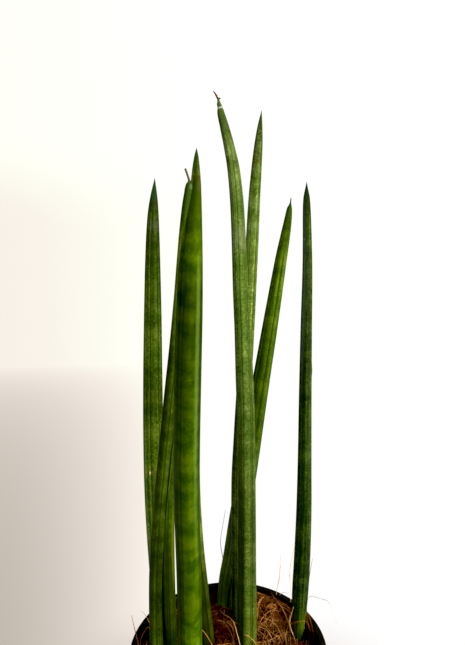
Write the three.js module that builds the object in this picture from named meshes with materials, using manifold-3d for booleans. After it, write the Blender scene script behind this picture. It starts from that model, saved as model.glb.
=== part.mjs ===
// A cylindrical snake plant in its nursery pot: nine round, furrowed, pointed
// leaves that stand in a bed of coconut fibre, in a tapered black plastic pot.
// Millimetres, +Z up. The origin is the middle of the pot's flat underside.

import * as THREE from "three";
import { mergeVertices } from "three/addons/utils/BufferGeometryUtils.js";
import Module from "manifold-3d";

const wasm = await Module();
wasm.setup();

// Clearance between solids that touch in the real plant.
const seatGap = 0.3;

// Pot: 12 cm across the lip and 10.5 cm tall.
const potHeight = 105;
const lipRadius = 60;
const lipDepth = 4.5;
const lipRound = 1.1;
const collarRadius = 57.6;
const collarDepth = 16;
const collarTaper = 0.7;
const shoulderRise = 1.5;
const shoulderRadius = 55.4;
const baseRadius = 42;
const baseChamfer = 1.5;
const wallThickness = 1.4;
const floorThickness = 2;
const potSides = 48;
const drainCount = 8;
const drainRadius = 4;
const drainCircle = 30;

// Bed of coconut fibre: its mean level, its rise towards the back, one heap by the
// back wall on the right, and its dip along the wall.
const bedLevel = 93;
const backRise = 3;
const heap = { x: 33, y: 43, rise: 11, reach: 19 };
const wallDip = 2.5;
const lumpHeight = 0.9;
const broadLump = 20;
const fineLump = 9;
const bedRings = 11;

// Coarse strands that stand out of the bed as low arches.
const strandCount = 42;
const strandThickness = 1.1;
const strandLength = { least: 14, most: 32 };
const strandRise = { least: 1.2, most: 3.4 };
const strandCurl = 0.8;
const strandSpread = 46;
const strandWallClearance = 3;
const strandSink = 2.2;
const strandKnots = 4;
const strandSteps = 6;
const strandSeed = 11;

// Leaves: six lengthwise furrows, with four faces from one furrow to the next.
const furrowCount = 6;
const facesPerFurrow = 4;
const furrowDepth = 0.055;
const holeSides = 12;

// Each leaf's route from its buried foot to its tip, as x, y, z and girth.
// turn is the angle of one furrow from the front, in degrees.
const leaves = [
  {
    name: "leaf_left_back",
    turn: 12,
    colour: "#4f7420",
    route: [
      [-38.6, 16, 70, 0],
      [-38.9, 16.2, 74, 7.5],
      [-40.9, 17.5, 92, 12.6],
      [-43.9, 18.5, 117, 13.2],
      [-46.5, 19, 144, 13.4],
      [-49.1, 19.5, 184, 13.5],
      [-50.3, 20, 224, 13.4],
      [-50.7, 20.5, 264, 12.9],
      [-50.8, 20.8, 304, 11.9],
      [-50.9, 21, 344, 10.1],
      [-50.7, 21, 371, 7.9],
      [-50.2, 21, 385, 5.1],
      [-49.6, 21, 399, 0],
    ],
  },
  {
    name: "leaf_left_side",
    turn: 30,
    colour: "#456a12",
    route: [
      [-40, -3, 70, 0],
      [-40.4, -4, 74, 5.5],
      [-41.9, -8.5, 97, 8.8],
      [-42.3, -12.5, 126, 8.8],
      [-41.6, -17, 158, 8.4],
      [-38.8, -21.7, 193, 8.2],
      [-35, -26.4, 228, 8.2],
      [-30.9, -31.1, 262, 8.2],
      [-27.2, -35.4, 292, 8],
      [-25, -38.4, 314, 7.5],
      [-22.4, -42.7, 345, 6.5],
      [-20.9, -44.9, 361, 5.5],
      [-20, -46, 369, 4.4],
      [-19.5, -46.4, 372.6, 2.8],
      [-19.2, -46.6, 374, 0],
    ],
  },
  {
    name: "leaf_left_short",
    turn: 24,
    colour: "#41650f",
    route: [
      [-34.5, 8, 72, 0],
      [-34.8, 7.5, 76, 5],
      [-36.4, 5.5, 97, 7.8],
      [-37.6, 4, 125, 8.7],
      [-38.2, 2.5, 158, 8.8],
      [-37.6, 1, 192, 8.3],
      [-35.6, -0.5, 223, 8],
      [-33, -2, 254, 7],
      [-30.6, -3.4, 280, 5],
      [-28.9, -4.2, 297, 2.8],
      [-27.7, -4.6, 309, 0],
    ],
  },
  {
    name: "leaf_left_front",
    turn: 30,
    colour: "#4f8a12",
    route: [
      [-23.2, -8, 70, 0],
      [-23, -9.5, 75, 8],
      [-22.3, -15, 94, 13.6],
      [-21.5, -24, 123, 13.7],
      [-20.8, -36.5, 165, 13.2],
      [-20.4, -50.5, 213, 13],
      [-19.4, -60.5, 246, 12.8],
      [-17.8, -70.7, 280, 12.4],
      [-16, -80, 312, 11.3],
      [-15, -84.8, 328, 9.8],
      [-13.9, -88.5, 340, 7.4],
      [-12.6, -91.5, 350, 4.6],
      [-11.5, -93.5, 356.5, 2.4],
      [-10.4, -94.6, 360, 0],
    ],
  },
  {
    name: "leaf_left_tall",
    turn: 27,
    colour: "#3f6a14",
    route: [
      [-12, 12, 70, 0],
      [-12.4, 12, 74, 6.5],
      [-14.6, 12.5, 96, 10.6],
      [-18.1, 12.7, 125, 10.9],
      [-21.7, 12.8, 157, 10.9],
      [-23.8, 12.8, 187, 11.2],
      [-24.7, 12.9, 219, 11.5],
      [-24.2, 13, 252, 11.6],
      [-23.1, 13.1, 290, 11.4],
      [-22.2, 13.2, 330, 10.7],
      [-21.9, 13.3, 356, 9.6],
      [-21.6, 13.3, 381, 7.9],
      [-21.4, 13.4, 395, 6.4],
      [-21.3, 13.4, 403, 4.8],
      [-21.1, 13.4, 410.5, 2.7],
      [-21, 13.4, 416, 0],
    ],
  },
  {
    name: "leaf_middle_tall",
    turn: 30,
    colour: "#547d24",
    route: [
      [12, 8, 70, 0],
      [12, 7.8, 75, 8],
      [11.8, 7, 98, 12.4],
      [11.5, 5.7, 151, 12.2],
      [11.3, 4.8, 196, 11.9],
      [10.8, 3.8, 241, 11.6],
      [9.8, 3.1, 270, 11.3],
      [8.7, 2.6, 298, 10.4],
      [7.5, 2.1, 322, 9.9],
      [6.3, 1.4, 353, 9.1],
      [5, 0.8, 378, 8.5],
      [2.9, 0.4, 398, 7.7],
      [0, 0.1, 412.5, 6.6],
      [-2.8, -0.1, 424, 5.6],
      [-4.9, -0.3, 432, 4.4],
      [-6.4, -0.4, 438, 2.7],
      [-7.3, -0.5, 441.8, 1.9],
      [-8.5, -0.5, 444.3, 1.4],
      [-10, -0.6, 445.6, 0],
    ],
  },
  {
    name: "leaf_middle_back",
    turn: 33,
    colour: "#5c8a22",
    route: [
      [8, 35.5, 70, 0],
      [8, 35.2, 75, 7],
      [7.7, 34, 94, 10.8],
      [7.1, 32.8, 140, 11],
      [6.9, 31, 192, 10.8],
      [8.2, 30, 221, 10.5],
      [9.7, 29.2, 249, 10.2],
      [11.4, 28.3, 276, 9.9],
      [13, 27.4, 304, 9.6],
      [14.4, 26.5, 331, 9.2],
      [15.8, 25.5, 358, 8.8],
      [17.1, 24.5, 385, 8.1],
      [18.6, 23.8, 406, 7.1],
      [19.9, 23.2, 422, 5.7],
      [20.9, 22.8, 434, 3.4],
      [22, 22.4, 445, 0],
    ],
  },
  {
    name: "leaf_right_leaning",
    turn: 5,
    colour: "#4a7c1a",
    route: [
      [-5.5, 45, 70, 0],
      [-5, 45.3, 75, 8],
      [-3, 46, 95, 13],
      [-0.6, 46.8, 115, 14],
      [2.3, 47.5, 129, 14.5],
      [7.1, 48.4, 158, 14.9],
      [12, 49.2, 186, 14.8],
      [16.7, 50, 216, 14.3],
      [21.2, 50.9, 245, 13.5],
      [24, 51.4, 262, 12.9],
      [28.7, 52.2, 290, 11.9],
      [33.7, 53.1, 320, 10.6],
      [38.7, 54, 350, 8.9],
      [41.5, 54.5, 365, 7.6],
      [44.1, 55, 380, 5.6],
      [46.4, 55.4, 396, 0],
    ],
  },
  {
    name: "leaf_right_edge",
    turn: 38,
    colour: "#2f5c10",
    route: [
      [45.4, 15, 80, 0],
      [45.4, 15, 84, 3.8],
      [45.5, 15, 93, 5.4],
      [45.7, 15, 104, 7.8],
      [46.4, 15, 121, 10.5],
      [47.9, 15, 147, 10.8],
      [49.1, 15, 178, 10.2],
      [49.6, 15, 212, 9.2],
      [50, 15, 252, 8.5],
      [50.7, 15, 300, 7.6],
      [51.4, 15, 335, 6.7],
      [51.3, 15, 358, 6],
      [51, 15, 375, 5.3],
      [50.9, 15, 384, 4.2],
      [50.9, 15, 390, 1.8],
      [51, 15, 394.5, 0],
    ],
  },
];

const colours = { pot: "#0d0d0e", fibre: "#7a4a1c" };

const plant = new THREE.Group();
plant.name = "cylindrical_snake_plant";

function addPiece(name, geometry, colour, roughness) {
  const material = new THREE.MeshStandardMaterial({ color: colour, roughness, metalness: 0 });
  const mesh = new THREE.Mesh(geometry, material);
  mesh.name = name;
  plant.add(mesh);
}

function smoothStep(low, high, value) {
  const share = Math.min(Math.max((value - low) / (high - low), 0), 1);
  return share * share * (3 - 2 * share);
}

// Repeatable random numbers from 0 to 1.
function randomSource(seed) {
  let state = seed;
  return () => {
    state = (state * 16807) % 2147483647;
    return state / 2147483647;
  };
}

function toSolid(geometry) {
  const bare = geometry.clone();
  bare.deleteAttribute("normal");
  bare.deleteAttribute("uv");
  const merged = mergeVertices(bare, 1e-4);
  const corners = merged.index.array;
  const kept = [];
  for (let i = 0; i < corners.length; i += 3) {
    const [a, b, c] = [corners[i], corners[i + 1], corners[i + 2]];
    if (a !== b && b !== c && c !== a) kept.push(a, b, c);
  }
  return new wasm.Manifold(new wasm.Mesh({
    numProp: 3,
    vertProperties: new Float32Array(merged.attributes.position.array),
    triVerts: new Uint32Array(kept),
  }));
}

function toGeometry(solid) {
  const mesh = solid.getMesh();
  const geometry = new THREE.BufferGeometry();
  geometry.setAttribute("position", new THREE.BufferAttribute(mesh.vertProperties, 3));
  geometry.setIndex(new THREE.BufferAttribute(mesh.triVerts, 1));
  geometry.computeVertexNormals();
  return geometry;
}

// A turned shape, stood upright: its profile is a list of [radius, height].
function turned(profile, sides) {
  const points = profile.map(([radius, height]) => new THREE.Vector2(radius, height));
  const geometry = new THREE.LatheGeometry(points, sides);
  geometry.rotateX(Math.PI / 2);
  return geometry;
}

// ---- Pot -------------------------------------------------------------------

function potInnerRadius(height) {
  const shoulderHeight = potHeight - collarDepth;
  const slope = (shoulderRadius - baseRadius) / shoulderHeight;
  return baseRadius + slope * Math.min(height, shoulderHeight) - wallThickness;
}

function potProfile() {
  const shoulderHeight = potHeight - collarDepth;
  const lipUnder = potHeight - lipDepth;
  const innerTop = collarRadius - wallThickness;
  return [
    [0, 0],
    [baseRadius - baseChamfer, 0],
    [baseRadius, baseChamfer],
    [shoulderRadius, shoulderHeight],
    [collarRadius - collarTaper, shoulderHeight + shoulderRise],
    [collarRadius, lipUnder],
    [lipRadius - lipRound, lipUnder],
    [lipRadius, lipUnder + lipRound],
    [lipRadius, potHeight - lipRound],
    [lipRadius - 0.3 * lipRound, potHeight - 0.3 * lipRound],
    [lipRadius - lipRound, potHeight],
    [innerTop + lipRound, potHeight],
    [innerTop + 0.3 * lipRound, potHeight - 0.3 * lipRound],
    [innerTop, potHeight - lipRound],
    [innerTop - collarTaper, shoulderHeight + shoulderRise],
    [potInnerRadius(shoulderHeight), shoulderHeight],
    [potInnerRadius(floorThickness), floorThickness],
    [0, floorThickness],
  ];
}

function drainHole(index) {
  const angle = (2 * Math.PI * index) / drainCount;
  const geometry = new THREE.CylinderGeometry(drainRadius, drainRadius, 3 * floorThickness, 16);
  geometry.rotateX(Math.PI / 2);
  geometry.translate(drainCircle * Math.cos(angle), drainCircle * Math.sin(angle), 0);
  return geometry;
}

let pot = toSolid(turned(potProfile(), potSides));
for (let i = 0; i < drainCount; i++) pot = pot.subtract(toSolid(drainHole(i)));
addPiece("nursery_pot", toGeometry(pot), colours.pot, 0.45);

// ---- Leaves ----------------------------------------------------------------

// A closed round stalk along a route of [x, y, z, girth], made as a straight turned
// shape with a ring for each point, and then bent: each ring moves to its place.
function stalk(route, sides, radiusAt) {
  const spine = new THREE.CatmullRomCurve3(route.map(([x, y, z]) => new THREE.Vector3(x, y, z)));
  const girths = new THREE.CatmullRomCurve3(route.map(([, , z, girth]) => new THREE.Vector3(girth, 0, z)));
  const lastRing = route.length - 1;
  const profile = [];
  for (let ring = 0; ring <= lastRing; ring++) {
    const isPole = ring === 0 || ring === lastRing;
    profile.push(new THREE.Vector2(isPole ? 0 : 1, ring));
  }
  const geometry = new THREE.LatheGeometry(profile, sides);
  const place = geometry.attributes.position;
  for (let i = 0; i < place.count; i++) {
    const along = place.getY(i) / lastRing;
    const centre = spine.getPoint(along);
    const tangent = spine.getTangent(along);
    const side = new THREE.Vector3(1, 0, 0).addScaledVector(tangent, -tangent.x).normalize();
    const front = new THREE.Vector3().crossVectors(side, tangent);
    const angle = Math.atan2(place.getX(i), place.getZ(i));
    const radius = radiusAt(girths.getPoint(along).x / 2, angle, along);
    centre.addScaledVector(side, place.getX(i) * radius);
    centre.addScaledVector(front, place.getZ(i) * radius);
    place.setXYZ(i, centre.x, centre.y, centre.z);
  }
  return geometry;
}

function leafGeometry(leaf) {
  const turn = THREE.MathUtils.degToRad(leaf.turn);
  const furrowed = (radius, angle) => {
    const wave = 0.5 + 0.5 * Math.cos(furrowCount * (angle - turn));
    return radius * (1 - furrowDepth * wave ** 2);
  };
  return stalk(leaf.route, furrowCount * facesPerFurrow, furrowed);
}

// The plain hole that a leaf stands in: the leaf without furrows, and wider by the gap.
function leafHole(leaf) {
  const [x, y, z] = leaf.route[0];
  const route = [[x, y, z - 2 * seatGap, 0], ...leaf.route.slice(1)];
  const flatToCorner = Math.cos(Math.PI / holeSides);
  return stalk(route, holeSides, (radius) => (radius + seatGap) / flatToCorner);
}

for (const leaf of leaves) addPiece(leaf.name, leafGeometry(leaf), leaf.colour, 0.5);

// ---- Bed of coconut fibre ----------------------------------------------------

// Uneven rounded lumps, from -1 to 1, about the given size across.
function lumps(x, y, size) {
  const turn = (2 * Math.PI) / size;
  return Math.sin(turn * (x + 0.4 * y)) * Math.sin(turn * (0.9 * y - 0.3 * x) + 1);
}

function bedHeight(x, y) {
  const fromHeap = Math.hypot(x - heap.x, y - heap.y) / heap.reach;
  const rise = heap.rise * Math.exp(-fromHeap * fromHeap) + backRise * smoothStep(25, 45, y);
  const dip = wallDip * smoothStep(0.72, 1, Math.hypot(x, y) / potInnerRadius(bedLevel));
  return bedLevel + rise - dip + lumpHeight * (lumps(x, y, broadLump) + lumps(y, x, fineLump));
}

// A plug that fills the pot. Its top is drawn flat, then each point there is lifted
// to the bed's height, and kept clear of the tapered wall at that height.
function bedPlug() {
  const bottom = floorThickness + seatGap;
  const topRadius = potInnerRadius(bedLevel) - seatGap;
  const profile = [[0, bottom], [potInnerRadius(bottom) - seatGap, bottom], [topRadius, bedLevel]];
  for (let ring = bedRings - 1; ring >= 0; ring--) profile.push([(topRadius * ring) / bedRings, bedLevel]);
  const geometry = turned(profile, potSides);
  const place = geometry.attributes.position;
  for (let i = 0; i < place.count; i++) {
    if (place.getZ(i) < bedLevel - 1) continue;
    const level = bedHeight(place.getX(i), place.getY(i));
    const fit = (potInnerRadius(level) - seatGap) / topRadius;
    place.setXYZ(i, place.getX(i) * fit, place.getY(i) * fit, level);
  }
  return geometry;
}

// One strand: a slim square-sided arch with both ends sunk in the bed.
function strand(random) {
  const reach = strandSpread * Math.sqrt(random());
  const around = 2 * Math.PI * random();
  const heading = 2 * Math.PI * random();
  const curl = strandCurl * (2 * random() - 1);
  const length = THREE.MathUtils.lerp(strandLength.least, strandLength.most, random());
  const rise = THREE.MathUtils.lerp(strandRise.least, strandRise.most, random());
  const limit = potInnerRadius(bedLevel - wallDip) - strandWallClearance;
  const points = [];
  for (let knot = 0; knot <= strandKnots; knot++) {
    const share = knot / strandKnots - 0.5;
    const direction = heading + curl * share;
    let x = reach * Math.cos(around) + length * share * Math.cos(direction);
    let y = reach * Math.sin(around) + length * share * Math.sin(direction);
    const pull = Math.min(1, limit / Math.hypot(x, y));
    x *= pull;
    y *= pull;
    const arch = (rise + strandSink) * Math.cos(Math.PI * share) - strandSink;
    points.push(new THREE.Vector3(x, y, bedHeight(x, y) + arch));
  }
  const half = strandThickness / 2;
  const section = new THREE.Shape([
    new THREE.Vector2(-half, 0),
    new THREE.Vector2(0, -half),
    new THREE.Vector2(half, 0),
    new THREE.Vector2(0, half),
  ]);
  return new THREE.ExtrudeGeometry(section, {
    steps: strandSteps,
    curveSegments: 1,
    extrudePath: new THREE.CatmullRomCurve3(points),
  });
}

function bedSolid() {
  const random = randomSource(strandSeed);
  let bed = toSolid(bedPlug());
  for (let i = 0; i < strandCount; i++) bed = bed.add(toSolid(strand(random)));
  for (const leaf of leaves) bed = bed.subtract(toSolid(leafHole(leaf)));
  const scraps = bed.decompose();
  scraps.sort((a, b) => b.volume() - a.volume());
  return scraps[0];
}

addPiece("coir_bed", toGeometry(bedSolid()), colours.fibre, 0.95);

export default plant;
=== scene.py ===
# A cylindrical snake plant in its nursery pot: nine round, furrowed, pointed leaves that
# stand in a bed of coconut fibre, in a tapered black plastic pot. Metres, +Z up.

import math
import random

import bmesh
import bpy
from mathutils import Euler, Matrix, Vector, noise


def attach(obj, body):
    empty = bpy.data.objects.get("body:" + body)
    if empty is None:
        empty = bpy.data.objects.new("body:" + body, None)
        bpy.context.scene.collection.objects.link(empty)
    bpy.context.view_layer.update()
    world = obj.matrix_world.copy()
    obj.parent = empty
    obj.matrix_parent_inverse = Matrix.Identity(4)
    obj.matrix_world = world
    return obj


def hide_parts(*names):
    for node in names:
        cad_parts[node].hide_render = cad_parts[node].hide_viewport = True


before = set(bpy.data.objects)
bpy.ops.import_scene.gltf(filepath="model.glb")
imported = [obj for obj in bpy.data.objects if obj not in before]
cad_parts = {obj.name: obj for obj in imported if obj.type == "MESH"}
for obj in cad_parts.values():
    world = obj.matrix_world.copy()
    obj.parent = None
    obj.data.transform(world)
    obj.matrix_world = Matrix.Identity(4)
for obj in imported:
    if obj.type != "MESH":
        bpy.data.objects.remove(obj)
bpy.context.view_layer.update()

mm = 0.001

# ---- Camera --------------------------------------------------------------------------
# A level camera in front of the plant, at two thirds of its height. It looks straight
# ahead, so the front of the rim and the foot of the pot lie below the picture.

picture_height = 645
focal_pixels = 424
camera_place = (2.4, -262.6, 302)


def add_object(name, data):
    """Puts a mesh, a light or the camera into the scene."""
    thing = bpy.data.objects.new(name, data)
    bpy.context.scene.collection.objects.link(thing)
    return thing


camera_data = bpy.data.cameras.new("camera")
camera_data.lens = camera_data.sensor_width * focal_pixels / picture_height
camera_data.clip_start = 10 * mm
camera = add_object("camera", camera_data)
camera.location = Vector(camera_place) * mm
camera.rotation_euler = (math.radians(90), 0, 0)
bpy.context.scene.camera = camera

# ---- Leaves --------------------------------------------------------------------------
# Nine stiff, solid leaves, round in section, each with lengthwise furrows and a hard dry
# tip. Each one is a sheet of cells rolled into a tube along the route of its solid.

ring_step = 2.0 * mm
least_steps = 5
faces_per_furrow = 16
furrow_sharpness = 12
swelling = 0.012
swelling_length = 30 * mm


def solid_rings(node_name):
    """Centre and radius of each ring of a leaf's solid, from its foot to its tip."""
    bm = bmesh.new()
    bm.from_mesh(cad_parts[node_name].data)
    bmesh.ops.remove_doubles(bm, verts=bm.verts, dist=0.01 * mm)
    ring = [max(bm.verts, key=lambda vert: vert.co.z)]
    seen = set(ring)
    rings = []
    while ring:
        centre = sum((vert.co for vert in ring), Vector()) / len(ring)
        rings.append((centre, max((vert.co - centre).length for vert in ring)))
        beyond = {edge.other_vert(vert): None for vert in ring for edge in vert.link_edges}
        ring = [vert for vert in beyond if vert not in seen]
        seen.update(ring)
    bm.free()
    return rings[::-1]


def fine_rings(rings):
    """Rings a short step apart on the smooth line through the solid's rings, each with
    its centre, direction, radius and distance from the foot."""
    knots = [Vector((*centre, radius)) for centre, radius in rings]
    reach = [0.0]
    for before, after in zip(knots, knots[1:]):
        reach.append(reach[-1] + (after.xyz - before.xyz).length)
    last = len(knots) - 1
    slopes = []
    for i in range(last + 1):
        low, high = max(i - 1, 0), min(i + 1, last)
        slopes.append((knots[high] - knots[low]) / (reach[high] - reach[low]))
    fine = []
    for i in range(last):
        span = reach[i + 1] - reach[i]
        count = max(least_steps, round(span / ring_step))
        for step in range(count + (i == last - 1)):
            t = step / count
            here = (knots[i] * (2 * t**3 - 3 * t**2 + 1) + knots[i + 1] * (3 * t**2 - 2 * t**3)
                    + (slopes[i] * (t**3 - 2 * t**2 + t) + slopes[i + 1] * (t**3 - t**2)) * span)
            slope = slopes[i].lerp(slopes[i + 1], t).xyz.normalized()
            fine.append((here.xyz, slope, max(here.w, 0), reach[i] + t * span))
    return fine


def made_mesh(bm, name):
    """A mesh of the finished shape."""
    mesh = bpy.data.meshes.new(name)
    bm.to_mesh(mesh)
    bm.free()
    return mesh


def leaf_mesh(name, look):
    """A leaf as a sheet rolled round its route. The attribute leaf_place is where a point
    lies on the leaf when it is straight: across, towards the back, and along."""
    rings = solid_rings(name)
    if look["tip"]:
        rings = [ring for ring in rings if ring[0].z < look["tip"][0][2] * mm]
        rings += [(Vector(spot[:3]) * mm, spot[3] / 2 * mm) for spot in look["tip"]]
    rings = fine_rings(rings)
    columns = look["furrows"] * faces_per_furrow
    turn = math.radians(look["turn"])
    bm = bmesh.new()
    bmesh.ops.create_grid(bm, x_segments=columns, y_segments=len(rings) - 1, size=1, calc_uvs=True)
    leaf_place = bm.verts.layers.float_vector.new("leaf_place")
    for vert in bm.verts:
        centre, along, girth, distance = rings[round((vert.co.y + 1) / 2 * (len(rings) - 1))]
        angle = turn + math.radians(look["twist"]) * distance / rings[-1][3] + math.pi * vert.co.x
        side = (Vector((1, 0, 0)) - along * along.x).normalized()
        front = side.cross(along)
        outward = side * math.sin(angle) + front * math.cos(angle)
        wave = 0.5 + 0.5 * math.cos(look["furrows"] * math.pi * vert.co.x)
        relief = look["lobe"] * wave**2 + look["furrow_depth"] * wave**furrow_sharpness
        spot = Vector((outward.x, outward.y, distance / swelling_length)) + Vector((look["seed"], 0, 0))
        radius = girth * (1 - relief - swelling * (0.5 + 0.5 * noise.noise(spot)))
        for bump in look["bumps"]:
            off = math.remainder(angle - math.radians(bump["turn"]), math.tau)
            off /= math.radians(bump["breadth"])
            up = (centre.z - bump["height"] * mm) / (bump["length"] * mm)
            radius += bump["rise"] * mm * math.exp(-off**2 - up**2)
        vert[leaf_place] = Vector((math.sin(angle), -math.cos(angle), 0)) * girth + Vector((0, 0, distance))
        vert.co = centre + outward * radius
    bmesh.ops.remove_doubles(bm, verts=bm.verts, dist=0.002 * mm)
    bmesh.ops.recalc_face_normals(bm, faces=bm.faces)
    for face in bm.faces:
        face.smooth = True
    return made_mesh(bm, name + "_flesh"), rings


def colour(hex_code, alpha=1.0):
    """A linear colour from an sRGB hex code."""
    parts = [int(hex_code[i:i + 2], 16) / 255 for i in (1, 3, 5)]
    linear = [part / 12.92 if part <= 0.04045 else ((part + 0.055) / 1.055) ** 2.4 for part in parts]
    return (*linear, alpha)


def add_node(tree, kind, inputs=None, **settings):
    """Adds a shader node, with its settings. Each input is a value, or a socket or node to link."""
    node = tree.nodes.new("ShaderNode" + kind)
    for name, value in settings.items():
        setattr(node, name, value)
    for key, value in (inputs or {}).items():
        socket = node.inputs[key]
        if isinstance(value, bpy.types.Node):
            tree.links.new(value.outputs[0], socket)
        elif isinstance(value, bpy.types.NodeSocket):
            tree.links.new(value, socket)
        else:
            socket.default_value = value
    return node


def new_material(name):
    """An empty node material with its output."""
    material = bpy.data.materials.new(name)
    material.use_nodes = True
    material.node_tree.nodes.clear()
    output = add_node(material.node_tree, "OutputMaterial")
    return material, material.node_tree, output


def add_mark(tree, place, skin, mark, rings):
    """Tints a soft-edged spot of the leaf, at a turn round it and a height. Its core is the
    part of its reach that has the full share of the tint."""
    _, _, girth, along = min(rings, key=lambda ring: abs(ring[0].z - mark["height"] * mm))
    turn = math.radians(mark["turn"])
    centre = (girth * math.sin(turn), -girth * math.cos(turn), along)
    off = add_node(tree, "VectorMath", {0: place, 1: centre}, operation="SUBTRACT")
    reach = (2 / (mark["across"] * mm), 2 / (mark["across"] * mm), 2 / (mark["along"] * mm))
    scaled = add_node(tree, "VectorMath", {0: off, 1: reach}, operation="MULTIPLY")
    distance = add_node(tree, "VectorMath", {0: scaled}, operation="LENGTH").outputs["Value"]
    cover = add_node(tree, "MapRange", {"Value": distance, "From Min": 1.0, "From Max": mark["core"],
                     "To Max": mark["share"]}, interpolation_type="SMOOTHSTEP")
    return add_node(tree, "MixRGB", {"Fac": cover, "Color1": skin, "Color2": colour(mark["tint"])})


def leaf_patterns(tree, place, look):
    """Noise over the leaf, by name, each with the size of its spots in millimetres across
    and along. The cells are finer than this in life: they are as coarse as they need to
    show. The bands are pushed up and down, row by row, so that they end raggedly."""
    sizes = {"push": (1.6, 13, 1), "rows": (*look["row_size"], 2), "cells": (1.6, 1.2, 2), "wax": (3, 5, 3),
             "bands": (*look["band_size"], 2)}
    shifted = add_node(tree, "VectorMath", {0: place, 1: (0, 0, look["seed"])}, operation="ADD")
    pattern = {}
    for label, (across, along, detail) in sizes.items():
        source = shifted
        if label == "bands":
            lift = add_node(tree, "Math", {0: pattern["push"], 1: look["tear"] * mm}, operation="MULTIPLY")
            lifted = add_node(tree, "CombineXYZ", {"Z": lift})
            source = add_node(tree, "VectorMath", {0: shifted, 1: lifted}, operation="ADD")
        stretch = (1 / (across * mm), 1 / (across * mm), 1 / (along * mm))
        stretched = add_node(tree, "VectorMath", {0: source, 1: stretch}, operation="MULTIPLY")
        pattern[label] = add_node(tree, "TexNoise", {"Vector": stretched, "Scale": 1.0, "Detail": detail})
    return pattern


def banded_green(tree, pattern, look):
    """Bands of deep green, the leaf's own green and a paler green, mingled cell by cell,
    under patches of grey-green wax."""
    speckled = add_node(tree, "Math", {0: pattern["cells"], 1: look["speckle"], 2: pattern["bands"]},
                        operation="MULTIPLY_ADD")
    streaked = add_node(tree, "Math", {0: pattern["rows"], 1: look["streak"], 2: speckled},
                        operation="MULTIPLY_ADD")
    middle = 0.5 + (look["speckle"] + look["streak"]) / 2
    tones = add_node(tree, "MapRange", {"Value": streaked, "From Min": middle - look["blend"],
                     "From Max": middle + look["blend"]})
    banded = add_node(tree, "ValToRGB", {"Fac": tones})
    stops = banded.color_ramp.elements
    stops[0].color, stops[1].color = colour(look["deep"]), colour(look["pale"])
    stops.new(0.5).color = colour(look["mid"])
    waxed = add_node(tree, "MapRange", {"Value": pattern["wax"], "From Min": 0.5, "From Max": 0.7,
                     "To Max": look["wax"]}, interpolation_type="SMOOTHSTEP")
    return add_node(tree, "MixRGB", {"Fac": waxed, "Color1": banded, "Color2": colour(look["bloom"])})


def shaded(tree, skin, height, look, rings):
    """Lightness up the leaf by its shades: partly its own stretches, partly painted light and shade."""
    length = rings[-1][3]
    way_up = add_node(tree, "MapRange", {"Value": height, "From Max": length})
    shades = add_node(tree, "ValToRGB", {"Fac": way_up})
    shades.color_ramp.interpolation = "EASE"
    stops = shades.color_ramp.elements
    for i, (level, lightness) in enumerate(look["shades"]):
        along = min(rings, key=lambda ring: abs(ring[0].z - level * mm))[3]
        stop = stops[i] if i < 2 else stops.new(along / length)
        stop.position, stop.color = along / length, (lightness, lightness, lightness, 1)
    return add_node(tree, "VectorMath", {0: skin, 1: shades}, operation="MULTIPLY")


def painted_light_round(tree, skin, angle, look):
    """Painted light and shade round the leaf: the green lighter where light falls, darker in shade."""
    way_round = add_node(tree, "MapRange", {"Value": angle, "From Min": -math.pi, "From Max": math.pi})
    light_round = add_node(tree, "ValToRGB", {"Fac": way_round})
    stops = light_round.color_ramp.elements
    for i, (turn, lightness) in enumerate(look["light_round"]):
        stop = stops[i] if i < 2 else stops.new(0.5 + turn / 360)
        stop.position, stop.color = 0.5 + turn / 360, (lightness * look["warmth"], lightness, lightness, 1)
    return add_node(tree, "VectorMath", {0: skin, 1: light_round}, operation="MULTIPLY")


def grained(tree, skin, pattern, look):
    """The green made lighter or darker by each cell and each row of cells."""
    grain = add_node(tree, "Math", {0: pattern["cells"], 1: look["grain"],
                     2: 1 - (look["grain"] + look["row_grain"]) / 2}, operation="MULTIPLY_ADD")
    tone = add_node(tree, "Math", {0: pattern["rows"], 1: look["row_grain"], 2: grain},
                    operation="MULTIPLY_ADD")
    return add_node(tree, "VectorMath", {0: skin, "Scale": tone}, operation="SCALE")


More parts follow.
